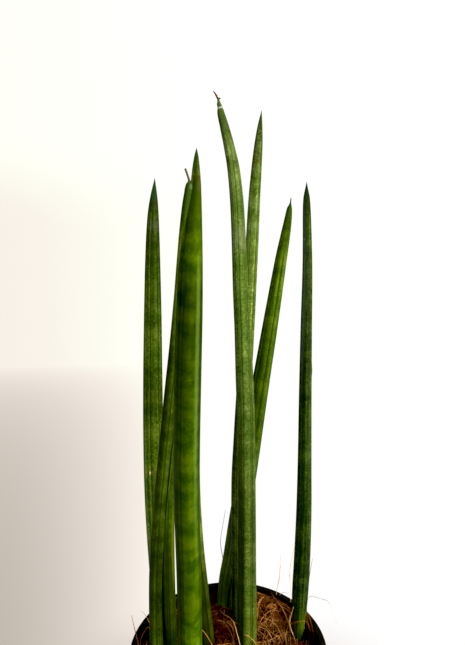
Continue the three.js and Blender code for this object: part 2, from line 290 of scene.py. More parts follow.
def furrow_lines(tree, skin, parts, angle, cells, look, length):
    """A thin dark line at, or on both sides of, the foot of each furrow. It is broken by
    the cells and fades out below the tip."""
    twisted = add_node(tree, "Math", {0: parts.outputs["Z"], 1: -math.radians(look["twist"]) / length,
                       2: angle}, operation="MULTIPLY_ADD")
    phase = add_node(tree, "Math", {0: twisted, 1: look["furrows"],
                     2: -look["furrows"] * math.radians(look["turn"])}, operation="MULTIPLY_ADD")
    wave = add_node(tree, "Math", {0: phase}, operation="COSINE")
    off = add_node(tree, "Math", {0: wave}, operation="ARCCOSINE")
    flat = add_node(tree, "CombineXYZ", {"X": parts.outputs["X"], "Y": parts.outputs["Y"]})
    girth = add_node(tree, "VectorMath", {0: flat}, operation="LENGTH")
    way = add_node(tree, "Math", {0: off, 1: girth.outputs["Value"]}, operation="MULTIPLY")
    beside = add_node(tree, "Math", {0: way, 1: look["line_gap"] / 2 * mm * look["furrows"]},
                      operation="SUBTRACT")
    from_line = add_node(tree, "Math", {0: beside}, operation="ABSOLUTE")
    half_line = look["line_width"] / 2 * mm * look["furrows"]
    line = add_node(tree, "MapRange", {"Value": from_line, "From Min": 1.5 * half_line,
                    "From Max": 0.5 * half_line, "To Max": look["line"]}, interpolation_type="SMOOTHSTEP")
    broken = add_node(tree, "MapRange", {"Value": cells, "From Min": 0.3, "From Max": 0.6, "To Min": 0.4})
    below_tip = add_node(tree, "MapRange", {"Value": parts.outputs["Z"],
                         "From Min": length - look["line_from"] * mm,
                         "From Max": length - 2.5 * look["line_from"] * mm}, interpolation_type="SMOOTHSTEP")
    faded = add_node(tree, "Math", {0: line, 1: below_tip}, operation="MULTIPLY")
    dotted = add_node(tree, "Math", {0: faded, 1: broken}, operation="MULTIPLY")
    return add_node(tree, "MixRGB", {"Fac": dotted, "Color1": skin, "Color2": colour("#0c1c04")})


def tipped(tree, skin, along, look, length):
    """The last stretch made a deep plain green that ends in a hard brown point."""
    for kind in ("green", "dry"):
        cover = add_node(tree, "MapRange", {"Value": along, "From Min": length - look[kind + "_from"] * mm,
                         "From Max": length - look[kind + "_at"] * mm,
                         "To Max": look[kind + "_share"]}, interpolation_type="SMOOTHSTEP")
        tip_colour = colour(look[kind + "_tint"])
        skin = add_node(tree, "MixRGB", {"Fac": cover, "Color1": skin, "Color2": tip_colour})
    return skin


def leaf_skin(name, look, rings):
    """Living leaf skin under a thin wax bloom: firm and satin, a little grey in the light.
    Dark and pale cross bands run into each other in specks, cell by cell, and a thin dark
    line lies along the foot of each furrow. Painted light and shade, up and round the leaf
    and in some marks, is mixed into its green."""
    material, tree, output = new_material("waxy_leaf_skin_" + name)
    length = rings[-1][3]
    place = add_node(tree, "Attribute", attribute_name="leaf_place").outputs["Vector"]
    parts = add_node(tree, "SeparateXYZ", {"Vector": place})
    back = add_node(tree, "Math", {0: parts.outputs["Y"], 1: -1}, operation="MULTIPLY")
    angle = add_node(tree, "Math", {0: parts.outputs["X"], 1: back}, operation="ARCTAN2")
    pattern = leaf_patterns(tree, place, look)

    # The place on the leaf, pushed up and down row by row, for stretches with ragged ends.
    push = add_node(tree, "Math", {0: pattern["push"], 1: 3 * look["tear"] * mm,
                    2: -1.5 * look["tear"] * mm}, operation="MULTIPLY_ADD")
    pushed = add_node(tree, "CombineXYZ", {"Z": push})
    ragged = add_node(tree, "VectorMath", {0: place, 1: pushed}, operation="ADD")
    ragged_parts = add_node(tree, "SeparateXYZ", {"Vector": ragged})

    # Zones are stretches of the leaf with their own green. Marks are its scars and specks, and
    #     also painted shade and painted highlights.
    skin = banded_green(tree, pattern, look)
    for height, along, share, tint in look["zones"]:
        zone = {"turn": 0, "height": height, "across": 4 * along, "along": along, "core": 0.3,
                "share": share, "tint": tint}
        skin = add_mark(tree, ragged, skin, zone, rings)
    # Painted light and shade: up the leaf by its shades, which are partly the leaf's own stretches, and
    # round it.
    skin = shaded(tree, skin, ragged_parts.outputs["Z"], look, rings)
    skin = painted_light_round(tree, skin, angle, look)
    skin = grained(tree, skin, pattern, look)
    skin = furrow_lines(tree, skin, parts, angle, pattern["cells"], look, length)
    skin = tipped(tree, skin, parts.outputs["Z"], look, length)
    for turn, height, across, along, share, tint in look["marks"]:
        mark = {"turn": turn, "height": height, "across": across, "along": along, "core": 0.4,
                "share": share, "tint": tint}
        skin = add_mark(tree, place, skin, mark, rings)

    rough = add_node(tree, "MapRange", {"Value": pattern["wax"], "From Min": 0.3, "From Max": 0.7,
                     "To Min": look["rough"] - 0.05, "To Max": look["rough"] + 0.07})
    relief = add_node(tree, "Math", {0: pattern["rows"], 1: pattern["cells"]}, operation="ADD")
    bump = add_node(tree, "Bump", {"Height": relief, "Strength": 0.3, "Distance": 0.15 * mm})
    shader = add_node(tree, "BsdfPrincipled", {"Base Color": skin, "Roughness": rough, "IOR": 1.45,
                      "Specular IOR Level": look["gloss"], "Specular Tint": colour("#e4eaa8"),
                      "Normal": bump})
    tree.links.new(shader.outputs[0], output.inputs["Surface"])
    return material


# What sets the nine leaves apart. Turns are degrees from the front, and lengths are in
# millimetres:
# - turn is where one furrow lies, and twist is how far the furrows wind round the leaf;
# - tip replaces the solid's last rings, each with a place (x, y, z) and a thickness;
# - shades are (height, lightness), partly the leaf's own stretches and partly painted light
#   and shade; light_round is (turn, lightness), painted light and shade round the leaf;
# - zones are (height, length, share, tint), and marks are (turn, height, width, length,
#   share, tint): scars and specks, and some painted shade and painted highlights;
# - deep, mid and pale are the bands' greens, torn and mingled by tear, speckle and streak;
# - a furrow's line starts line_from below the tip, and line_gap makes two lines of it;
# - the green and the dry stretch of the tip run from one distance below it to another.
common_look = {
    "furrows": 6, "twist": 0, "lobe": 0.03, "furrow_depth": 0.015, "bumps": [], "tip": [],
    "bloom": "#5d6a36", "wax": 0.2,
    "band_size": (22, 9), "tear": 5, "speckle": 0.5, "streak": 0.3, "blend": 0.18,
    "grain": 0.6, "row_grain": 1.1, "row_size": (1.5, 60), "gloss": 0.04, "rough": 0.52,
    "line": 0.75, "line_width": 0.8, "line_gap": 0, "line_from": 24,
    "green_tint": "#1c3808", "green_from": 22, "green_at": 8, "green_share": 0.7,
    "dry_tint": "#3a2c14", "dry_from": 2.5, "dry_at": 0.5, "dry_share": 1,
}
leaf_looks = {
    "leaf_left_back": {
        "furrows": 7, "turn": -5, "seed": 0.1, "wax": 0.3, "speckle": 0.8, "grain": 0.9,
        "deep": "#243c0b", "mid": "#304a13", "pale": "#445c1a", "blend": 0.22, "line": 0.9,
        "shades": [(90, 1), (150, 1.9), (220, 1.6), (250, 0.9), (280, 1.1), (320, 0.8), (370, 0.5)],
        "light_round": [(-110, 1), (-40, 1.4), (-25, 0.6), (-10, 1.3), (5, 0.7), (20, 1), (45, 1.3), (110, 1)],
        "warmth": 1.1,
        "zones": [(368, 12, 0.35, "#56684c"), (357, 12, 0.4, "#2c3a14"), (386, 26, 0.75, "#273f1e")],
        "marks": [(-12, 203.1, 1.4, 2.8, 1.0, "#f0c8b4")], "green_tint": "#1e3818",
    },
    "leaf_left_side": {
        "turn": 9, "seed": 0.2, "line": 0.8, "deep": "#213609", "mid": "#2d450e", "pale": "#3b5315",
        "zones": [(330, 60, 0.5, "#4e5c18"), (370, 34, 0.75, "#2c4024")],
        "shades": [(105, 1.1), (140, 0.5), (205, 0.9), (280, 0.6), (310, 1.8), (345, 2.0), (355, 1.0)],
        "light_round": [(-110, 1), (-30, 0.7), (-10, 1.1), (5, 1.9), (25, 1.3), (45, 1.2), (60, 1.7), (110, 1)],
        "warmth": 1.1,
        # Marks at 65°, 57°, 82° and 10° are painted shade: on the right side, in the gaps beside the next
        # leaves and at the top. The two near the tip are scars.
        "marks": [(35, 371.0, 2.2, 4.0, 0.6, "#5c6e58"), (-40, 372.8, 2.2, 2.4, 0.5, "#3c3818"),
                  (65, 335, 8, 120, 0.9, "#243a06"), (57, 215, 2.0, 90, 1.0, "#061000"),
                  (82, 140, 5, 130, 0.95, "#061000"), (10, 358, 5, 44, 0.5, "#2c4408")],
        "tip": [(-19.9, -46.1, 370, 4.3), (-19.6, -46.4, 372.6, 3.3), (-19.6, -46.4, 373.7, 1.9),
                (-19.8, -46.4, 374.8, 1.25), (-20.6, -46.4, 377.3, 1.1), (-21.3, -46.3, 379.3, 1.1),
                (-21.7, -46.3, 380.4, 1.0), (-21.8, -46.3, 380.7, 0)],
        "green_from": 29, "green_at": 15, "dry_tint": "#4c4828", "dry_from": 8.0, "dry_at": 6.4,
    },
    "leaf_left_short": {
        "turn": 12, "seed": 0.3, "deep": "#182c05", "mid": "#1f3506", "pale": "#2a4108", "line": 0.8,
        "shades": [(100, 1.3), (165, 0.9), (185, 1.5), (240, 1.2)],
        "light_round": [(-110, 1), (-15, 1.4), (-5, 0.6), (10, 1), (45, 0.8), (110, 1)],
        "warmth": 1.1,
        "rough": 0.4,
        "zones": [(230, 60, 0.5, "#344c02"), (140, 90, 0.5, "#2c3c02")],
        # Marks: a painted light strip on the right edge (62°) and painted shade in the gap beside the next
        # leaf (-50°).
        "marks": [(62, 165, 4, 70, 0.5, "#5a6c10"), (-50, 140, 6, 130, 0.8, "#061000")],
    },
    "leaf_left_front": {
        "furrows": 4, "turn": -23, "line": 0.7, "line_width": 0.9, "seed": 0.4, "wax": 0.1,
        "band_size": (9, 6), "tear": 2, "speckle": 0.3, "streak": 0.2, "grain": 0.3, "row_grain": 0.4,
        "lobe": 0.02, "gloss": 0.025, "rough": 0.45,
        "deep": "#203c05", "mid": "#304c07", "pale": "#3f580a",
        "shades": [(125, 1.4), (150, 0.8), (240, 0.8), (270, 0.6), (315, 0.5), (330, 0.8), (355, 0.4)],
        "light_round": [(-110, 1), (-55, 1.2), (-40, 0.5), (-25, 0.9), (20, 1.1), (50, 1.3), (110, 1)],
        "warmth": 1.1,
        # Marks: a speck, a brown smear, a painted highlight strip (46°), and painted shade on the right edge
        # (80°), the left side (-62°) and along a furrow (-36°).
        "marks": [(16, 277.9, 0.8, 0.8, 0.55, "#6e6e1c"), (30, 357, 4, 7, 0.15, "#5a5030"),
                  (46, 300, 3.0, 330, 0.3, "#64803a"), (80, 250, 5, 360, 0.6, "#1c3006"),
                  (-62, 180, 7.2, 190, 0.7, "#0c1e00"), (-36, 145, 3, 130, 0.5, "#0a1c00")],
        "zones": [(349, 6, 0.25, "#1a3402"), (341.5, 5, 0.2, "#1a3402"), (333.5, 7, 0.3, "#1a3402"),
                  (327, 6, 0.25, "#1a3402"), (314, 12, 0.2, "#1a3402"), (298, 14, 0.2, "#1a3402"),
                  (345.5, 5, 0.25, "#567208"), (338.5, 7, 0.22, "#567208"), (330.3, 4, 0.22, "#567208"),
                  (322.5, 6, 0.22, "#567208"), (306, 8, 0.2, "#567208")],
        "tip": [(-12.6, -91.5, 350, 4.6), (-11.84, -92.6, 356.5, 3.4), (-11.6, -93.1, 359, 2.7),
                (-11.35, -93.3, 360.3, 1.7), (-11.15, -93.4, 360.9, 0)],
        "green_tint": "#2a4002", "dry_tint": "#343810", "dry_from": 3.5,
    },
    "leaf_left_tall": {
        "furrows": 4, "turn": 38, "row_grain": 0.6, "seed": 0.5,
        "shades": [(100, 0.5), (140, 0.8), (170, 2), (210, 2), (300, 0.9), (400, 1.2)],
        "light_round": [(-110, 1), (-40, 1.2), (-25, 0.4), (20, 0.5), (35, 1.6), (50, 1.2), (110, 1)],
        "warmth": 1.15,
        "rough": 0.38,
        "deep": "#253a0e", "mid": "#344814", "pale": "#46581c", "zones": [(212, 60, 0.5, "#4a6014")],
        # Marks: a painted light strip on the right side (40°) and painted shade along a furrow (33°).
        "marks": [(40, 215, 6, 110, 0.4, "#74822e"), (33, 122, 2.6, 120, 0.85, "#0e1c02")],
    },
    "leaf_middle_tall": {
        "turn": 20, "twist": 38, "seed": 0.6, "wax": 0.3, "speckle": 0.9, "grain": 1.3, "row_grain": 0.5,
        "lobe": 0.05, "line_gap": 1.3, "line": 0.6, "blend": 0.32,
        "deep": "#2f4a18", "mid": "#425a20", "pale": "#5a7034",
        "shades": [(100, 0.9), (170, 0.7), (240, 0.8), (340, 1), (390, 1), (430, 0.5)],
        "light_round": [(-110, 1), (-45, 1), (-35, 0.6), (-25, 1.4), (0, 1.2), (30, 0.8), (110, 1)],
        "warmth": 1,
        "zones": [(400, 90, 0.2, "#6c7848"), (354, 22, 0.4, "#74805a"), (100, 80, 0.4, "#54601a"),
                  (430, 26, 0.6, "#2e4a22"), (408, 14, 0.35, "#748c50"), (400, 8, 0.35, "#2c4a12"),
                  (391, 10, 0.3, "#748c50"),
                  (376, 18, 0.3, "#2c4a12"), (340, 15, 0.3, "#2c4a12")],
        # Marks: a pale and a rusty speck at the tip, and painted shade over the left side low down (-48°).
        "marks": [(4, 434.4, 14, 1.6, 0.5, "#b4c6ba"), (80, 436, 1.2, 1.2, 0.9, "#a8622e"),
                  (-48, 140, 11, 200, 0.65, "#0e1e02")],
        "green_tint": "#3c4e20", "green_from": 30, "green_at": 12, "green_share": 0.8,
        "dry_tint": "#2b2010", "dry_from": 7.2, "dry_at": 5.2,
        "tip": [(-5.3, -0.35, 434.9, 3.3), (-6.1, -0.4, 437.5, 2.4), (-6.3, -0.4, 439.3, 1.4),
                (-7.0, -0.45, 441.1, 1.15), (-8.1, -0.5, 443.1, 0.95), (-9.0, -0.55, 444.4, 0.65),
                (-9.8, -0.6, 445.4, 0)],
    },
    "leaf_middle_back": {
        "turn": 38, "seed": 0.7, "wax": 0.3, "speckle": 0.8, "grain": 1.3, "row_grain": 0.6,
        "blend": 0.14,
        "deep": "#385014", "mid": "#485e20", "pale": "#5e7436",
        "zones": [(350, 70, 0.3, "#5e7434"), (384, 14, 0.35, "#748c50"), (410, 8, 0.4, "#5a5a2c"),
                  (421, 13, 0.3, "#748c50"), (375, 8, 0.4, "#2c4a12"), (366, 10, 0.3, "#748c50"),
                  (359, 8, 0.35, "#2c4a12")],
        "shades": [(200, 0.7), (270, 0.5), (290, 1.4), (310, 1.1), (380, 1), (430, 0.4)],
        "light_round": [(-110, 1), (-35, 0.8), (-20, 1.4), (0, 0.8), (15, 1), (30, 1.5), (45, 0.8), (110, 1)],
        "warmth": 1,
        "marks": [(70, 437, 1.6, 7, 0.7, "#5c4a24")], "green_from": 16, "green_at": 9,
    },
    "leaf_right_leaning": {
        "furrows": 7, "turn": 15, "seed": 0.8, "lobe": 0.05, "wax": 0.1,
        "deep": "#274107", "mid": "#344f0a", "pale": "#465f12",
        "shades": [(95, 3), (150, 1.8), (190, 0.9), (250, 0.8), (330, 1.1), (385, 0.6)],
        "light_round": [(-110, 1), (-50, 0.8), (-35, 1.3), (-15, 0.9), (0, 1.2), (20, 0.7), (40, 1.2),
                  (110, 1)],
        "warmth": 1.05,
        # Marks: a brown spot at the foot, and painted shade on the right edge (78°), beside the next leaf.
        "marks": [(17, 95, 3, 4, 0.6, "#4a3a1c"), (78, 140, 4, 110, 0.9, "#040600")],
        "zones": [(125, 70, 0.4, "#3c4a08")],
        "tip": [(45.1, 55.2, 387.5, 3.9), (45.6, 55.3, 390, 2.2), (45.9, 55.35, 392, 1.1),
                (46.2, 55.4, 394.5, 0.8), (46.4, 55.4, 396, 0)],
    },
    "leaf_right_edge": {
        "turn": 27, "seed": 0.9, "deep": "#16290a", "mid": "#1f340e", "pale": "#304718", "bloom": "#4c5a36",
        "shades": [(95, 1.8), (135, 0.9), (220, 1.1), (260, 0.8), (355, 1.1), (385, 0.5)],
        "light_round": [(-110, 1), (-45, 0.8), (-15, 0.7), (0, 0.9), (15, 0.5), (25, 1.6), (40, 1), (110, 1)],
        "warmth": 1.05,
        "zones": [(368, 26, 0.4, "#33480f"), (98, 50, 0.6, "#344408")], "lobe": 0.04,
        "row_size": (1.3, 80), "row_grain": 2.2, "grain": 1.1, "speckle": 0.8,
        "marks": [(-46, 355.3, 0.8, 1.6, 0.5, "#8a967a"), (-50, 330, 5, 200, 0.25, "#56685a"),
                  (-14, 190, 1.1, 180, 0.7, "#041200"), (-42, 190, 1.8, 180, 0.4, "#24340c")],
        "bumps": [{"turn": 60, "breadth": 30, "height": 271, "length": 3, "rise": 0.4}],
        "green_tint": "#15290a",
    },
}

leaf_routes = {}
for name, own_look in leaf_looks.items():
    look = {**common_look, **own_look}
    flesh, leaf_routes[name] = leaf_mesh(name, look)
    flesh.materials.append(leaf_skin(name, look, leaf_routes[name]))
    leaf = add_object(name + "_flesh", flesh)
    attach(leaf, "root")
    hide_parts(name)

# ---- Dry scraps ----------------------------------------------------------------------
# Two bits of dried skin that cling to the spike of the tallest leaf: a pale papery flake
# with a rusty root, and a dark nub beside it. Both have grown out of the tip.


def dry_scraps():
    """A flake drawn out from the spike to a torn edge, and a small hard nub."""
    bm = bmesh.new()
    outline = [(-7.4, 441.2), (-7.5, 442.5), (-6.9, 442.8), (-6.4, 442.3), (-5.5, 442.4), (-5.9, 441.5),
               (-6.6, 440.8)]
    corners = [bm.verts.new((x, -0.75, z)) for x, z in outline]
    flake = bm.faces.new(corners)
    grown = bmesh.ops.extrude_face_region(bm, geom=[flake])["geom"]
    edge_verts = [item for item in grown if isinstance(item, bmesh.types.BMVert)]
    bmesh.ops.translate(bm, verts=edge_verts, vec=(0.1, 0.3, 0))
    nub = bmesh.ops.create_icosphere(bm, subdivisions=2, radius=0.62)["verts"]
    bmesh.ops.scale(bm, vec=(1.15, 0.8, 0.75), verts=nub)
    bmesh.ops.translate(bm, verts=nub, vec=(-5.6, -0.45, 440.5))
    bmesh.ops.recalc_face_normals(bm, faces=bm.faces)
    bmesh.ops.scale(bm, vec=(mm, mm, mm), verts=bm.verts)
    for face in bm.faces:
        face.smooth = len(face.verts) == 3
    return made_mesh(bm, "dry_scraps")


def dried_leaf_tissue():
    """Dead leaf tissue: papery and straw pale where it is thin, rusty at its root, and
    nearly black where it has dried to a hard nub."""
    material, tree, output = new_material("dried_leaf_tissue")
    coords = add_node(tree, "TexCoord").outputs["Object"]
    grain = add_node(tree, "TexNoise", {"Vector": coords, "Scale": 1 / (0.5 * mm), "Detail": 3.0})
    grain_part = add_node(tree, "Math", {0: grain, 1: 0.4 * mm, 2: -0.2 * mm}, operation="MULTIPLY_ADD")
    parts = add_node(tree, "SeparateXYZ", {"Vector": coords})
    across = add_node(tree, "Math", {0: parts.outputs["X"], 1: grain_part}, operation="ADD")
    rusty = add_node(tree, "MapRange", {"Value": across, "From Min": -7.3 * mm, "From Max": -6.5 * mm})
    papery = add_node(tree, "MixRGB", {"Fac": rusty, "Color1": colour("#b04a20"),
                      "Color2": colour("#e2d0a6")})
    hard = add_node(tree, "MapRange", {"Value": parts.outputs["Z"], "From Min": 441.3 * mm,
                    "From Max": 440.9 * mm})
    tissue = add_node(tree, "MixRGB", {"Fac": hard, "Color1": papery, "Color2": colour("#2a2410")})
    bump = add_node(tree, "Bump", {"Height": grain, "Strength": 0.4, "Distance": 0.1 * mm})
    shader = add_node(tree, "BsdfPrincipled", {"Base Color": tissue, "Roughness": 0.8, "IOR": 1.45,
                      "Normal": bump})
    tree.links.new(shader.outputs[0], output.inputs["Surface"])
    return material


scraps_mesh = dry_scraps()
scraps_mesh.materials.append(dried_leaf_tissue())
scraps = add_object("dry_scraps", scraps_mesh)
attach(scraps, "root")

# ---- Bed of coconut fibre ----------------------------------------------------------------
# Coir: the springy brown fibre of coconut husk, teased loose and packed by hand round the
# feet of the leaves, higher along the back wall. Its ground is a dark, uneven mat.

pot_height = 105
collar_depth = 16
shoulder_radius = 55.4
base_radius = 42
wall_thickness = 1.4
floor_thickness = 2
seat_gap = 0.3
bed_level = 93
back_rise = 3
back_from = 25
back_to = 45
heap = {"x": 33, "y": 43, "rise": 11, "reach": 19}
wall_dip = 2.5
dip_from = 0.72
lump_height = 0.9
broad_lump = 20
fine_lump = 9
pit_size = 6.5
pit_depth = 4.6
crumb_size = 1.3
crumb_height = 0.5
bed_sides = 120
bed_rings = 56
skirt_levels = (60, 30)
foot_level = 96
hole_depth = 18
hole_edge = (-1.6, -0.4)


def pot_inner_radius(height):
    """The pot's inside radius at a height, up to its collar."""
    shoulder_height = pot_height - collar_depth
    slope = (shoulder_radius - base_radius) / shoulder_height
    return base_radius + slope * min(height, shoulder_height) - wall_thickness


def smooth_step(low, high, value):
    """From 0 to 1, gently, as the value goes from low to high."""
    share = min(max((value - low) / (high - low), 0), 1)
    return share * share * (3 - 2 * share)


def lumps(x, y, size):
    """Uneven rounded lumps, from -1 to 1, about the given size across."""
    turn = math.tau / size
    return math.sin(turn * (x + 0.4 * y)) * math.sin(turn * (0.9 * y - 0.3 * x) + 1)


def bed_height(x, y):
    """The bed's height in millimetres, without its pits."""
    from_heap = math.hypot(x - heap["x"], y - heap["y"]) / heap["reach"]
    rise = heap["rise"] * math.exp(-from_heap**2) + back_rise * smooth_step(back_from, back_to, y)
    dip = wall_dip * smooth_step(dip_from, 1, math.hypot(x, y) / pot_inner_radius(bed_level))
    return bed_level + rise - dip + lump_height * (lumps(x, y, broad_lump) + lumps(y, x, fine_lump))


def ground_height(x, y):
    """The bed's height in millimetres with its pits, where the fibre lies loose."""
    pits = noise.fractal(Vector((x, y, 3)) / pit_size, 0.9, 2.2, 3)
    return bed_height(x, y) + pit_depth * min(pits - 0.1, 0.25)


# Where each leaf passes through the bed: x, y and radius in millimetres.
leaf_feet = []
for rings in leaf_routes.values():
    centre, _, girth, _ = min(rings, key=lambda ring: abs(ring[0].z - foot_level * mm))
    leaf_feet.append((centre.x / mm, centre.y / mm, girth / mm))


def leaf_distance(x, y):
    """How far a spot on the bed is from the nearest leaf: less than 0 inside it."""
    return min(math.hypot(x - foot_x, y - foot_y) - girth for foot_x, foot_y, girth in leaf_feet)


def bed_mesh():
    """A plug that fills the pot: a disc grown ring by ring, lifted to the bed's height,
    and drawn down along the wall. It sinks under each leaf, which stands in that hole."""
    top_radius = pot_inner_radius(bed_level) - seat_gap
    bm = bmesh.new()
    bmesh.ops.create_circle(bm, cap_ends=True, cap_tris=True, segments=bed_sides,
                            radius=top_radius / bed_rings)
    rim = [edge for edge in bm.edges if edge.is_boundary]
    for ring in range(2, bed_rings + 1):
        grown = bmesh.ops.extrude_edge_only(bm, edges=rim)["geom"]
        rim = [item for item in grown if isinstance(item, bmesh.types.BMEdge) and item.is_boundary]
        edge_verts = {vert for edge in rim for vert in edge.verts}
        bmesh.ops.scale(bm, vec=(ring / (ring - 1), ring / (ring - 1), 1), verts=list(edge_verts))
    for vert in bm.verts:
        x, y = vert.co.xy
        level = ground_height(x, y) + crumb_height * noise.noise(Vector((x, y, 9)) / crumb_size)
        level -= hole_depth * (1 - smooth_step(*hole_edge, leaf_distance(x, y)))
        fit = (pot_inner_radius(level) - seat_gap) / top_radius
        vert.co = Vector((x * fit, y * fit, level))
    for level in (*skirt_levels, floor_thickness + seat_gap):
        grown = bmesh.ops.extrude_edge_only(bm, edges=rim)["geom"]
        rim = [item for item in grown if isinstance(item, bmesh.types.BMEdge) and item.is_boundary]
        for vert in {vert for edge in rim for vert in edge.verts}:
            vert.co.xy *= (pot_inner_radius(level) - seat_gap) / vert.co.xy.length
            vert.co.z = level
    bmesh.ops.holes_fill(bm, edges=rim, sides=0)
    bmesh.ops.recalc_face_normals(bm, faces=bm.faces)
    bmesh.ops.scale(bm, vec=(mm, mm, mm), verts=bm.verts)
    for face in bm.faces:
        face.smooth = True
    return made_mesh(bm, "coir_mat")


# Loose fibres: coarse ones that stand out as low arches, and a tangle of fine ones. Each
# wanders over the bed, with both ends worked in.
arch_seed = 11
arch_multiplier = 16807
arch_modulus = 2147483647
arches = {"count": 42, "knots": 8, "spread": 46, "sink": 2.2, "curl": 0.8, "clear": 3, "thickness": 0.7}
arch_length = {"least": 14, "more": 18}
arch_rise = {"least": 1.2, "more": 2.2}
tangle_seed = 5
coarse = {"count": 240, "knots": 8, "length": (20, 46), "lift": 4.0, "thickness": (0.32, 0.52)}
fine = {"count": 3400, "knots": 6, "length": (9, 26), "lift": 3.0, "thickness": (0.22, 0.4)}
fibre_spread = 53
fibre_curl = 1.3
leaf_clearance = 0.4
wall_clearance = 0.8
end_depth = 0.3
least_step = 0.1

# Fibres caught along the wall: from and to (degrees from the right), how many, and tints.
wall_drifts = [(40, 54, 60, 0.2, 0.8), (50, 76, 170, 0.15, 0.9), (88, 122, 240, 0.15, 0.42),
               (122, 340, 220, 0.2, 0.7)]
wall_foot = 45
wall_lean = 9
wall_bow = 5
wall_heap = {"thin": 0.9, "thick": 4}
wall_thickness_range = (0.22, 0.42)


def arch_paths():
    """The coarse arches of the bed's solid, as lists of points in millimetres. The draw is
    the one that the solid was made with, so that they lie where its arches lie."""
    state = arch_seed

    def draw():
        nonlocal state
        state = (state * arch_multiplier) % arch_modulus
        return state / arch_modulus

    limit = pot_inner_radius(bed_level - wall_dip) - arches["clear"]
    for _ in range(arches["count"]):
        reach, around, heading = arches["spread"] * math.sqrt(draw()), math.tau * draw(), math.tau * draw()
        curl = arches["curl"] * (2 * draw() - 1)
        length = arch_length["least"] + arch_length["more"] * draw()
        rise = arch_rise["least"] + arch_rise["more"] * draw()
        points = []
        for knot in range(arches["knots"] + 1):
            share = knot / arches["knots"] - 0.5
            direction = heading + curl * share
            x = reach * math.cos(around) + length * share * math.cos(direction)
            y = reach * math.sin(around) + length * share * math.sin(direction)
            pull = min(1, limit / math.hypot(x, y))
            arch = (rise + arches["sink"]) * math.cos(math.pi * share) - arches["sink"]
            points.append(Vector((x * pull, y * pull, bed_height(x * pull, y * pull) + arch)))
        yield points


def wandering_path(draw, kind):
    """A springy fibre's route over the bed. It bends one way as it goes and sways about
    that bend, passes round the leaves, and ends where it would meet the wall."""
    length = draw.uniform(*kind["length"])
    reach, around = fibre_spread * math.sqrt(draw.random()), math.tau * draw.random()
    x, y = reach * math.cos(around), reach * math.sin(around)
    heading = math.tau * draw.random()
    bend = draw.uniform(-fibre_curl, fibre_curl)
    sway, phase = draw.uniform(0.4, 1.1) * fibre_curl, math.tau * draw.random()
    start = draw.uniform(-0.8, 0.5)
    top = kind["lift"] * draw.random()**2
    skew = draw.uniform(0.6, 1.6)
    points = []
    step = length / kind["knots"]
    for knot in range(kind["knots"] + 1):
        share = knot / kind["knots"]
        px, py = x, y
        for foot_x, foot_y, girth in leaf_feet:
            away = math.hypot(px - foot_x, py - foot_y)
            if away < girth + leaf_clearance:
                push = (girth + leaf_clearance) / max(away, 0.01)
                px, py = foot_x + (px - foot_x) * push, foot_y + (py - foot_y) * push
        rise = (top + 2 * end_depth) * math.sin(math.pi * share**skew)
        level = ground_height(px, py) + start + rise - end_depth
        if math.hypot(px, py) > pot_inner_radius(level) - wall_clearance:
            break
        points.append(Vector((px, py, level)))
        heading += (bend + sway * math.cos(phase + 9 * share)) / kind["knots"]
        x, y = x + step * math.cos(heading), y + step * math.sin(heading)
    return points


def wall_path(draw, bearing):
    """A fibre pressed up against the inside of the wall, at a bearing from the right. The
    heap of them is thick at its foot and thins out towards the lip."""
    around = math.radians(bearing)
    low = ground_height(wall_foot * math.cos(around), wall_foot * math.sin(around))
    lean, bow = draw.gauss(0, wall_lean), draw.uniform(-wall_bow, wall_bow)
    top = low + (pot_height - 0.5 - low) * draw.random()**1.2
    depth = wall_heap["thin"] + wall_heap["thick"] * (pot_height - top) / (pot_height - low) * draw.random()
    points = []
    for knot in range(fine["knots"] + 1):
        share = knot / fine["knots"]
        level = low - 1 + (top - low + 1) * math.sin(1.9 * share) ** 0.8
        reach = pot_inner_radius(level) - depth
        turn = around + (lean * share + bow * math.sin(math.pi * share)) / reach
        points.append(Vector((reach * math.cos(turn), reach * math.sin(turn), level)))
    return points


def fibre_mesh(name, strands):
    """Square-sided tapered fibres, each a path in millimetres with a thickness and a tint.
    The attribute fibre_tint holds each fibre's own shade, from dark to straw."""
    data = bpy.data.curves.new(name, "CURVE")
    data.dimensions = "3D"
    data.bevel_depth = 0.5 * mm
    data.bevel_resolution = 0
    data.use_fill_caps = False
    data.resolution_u = 1
    tints = []
    for points, thickness, tint in strands:
        points = points[:1] + [point for before, point in zip(points, points[1:])
                               if (point - before).length > least_step]
        if len(points) < 3:
            continue
        spline = data.splines.new("POLY")
        spline.points.add(len(points) - 1)
        for i, (knot, point) in enumerate(zip(spline.points, points)):
            share = i / (len(points) - 1)
            knot.co = (*(point * mm), 1)
            knot.radius = thickness * (0.25 + 0.75 * math.sin(math.pi * (0.08 + 0.84 * share)))
        tints += [tint] * len(points)
    holder = bpy.data.objects.new(name, data)
    mesh = bpy.data.meshes.new_from_object(holder)
    bpy.data.objects.remove(holder)
    bpy.data.curves.remove(data)
    bm = bmesh.new()
    bm.from_mesh(mesh)
    bmesh.ops.holes_fill(bm, edges=[edge for edge in bm.edges if edge.is_boundary], sides=4)
    bmesh.ops.recalc_face_normals(bm, faces=bm.faces)
    bm.to_mesh(mesh)
    bm.free()
    layer = mesh.attributes.new("fibre_tint", "FLOAT", "POINT")
    around = len(mesh.vertices) // len(tints)
    layer.data.foreach_set("value", [tint for tint in tints for _ in range(around)])
    return mesh


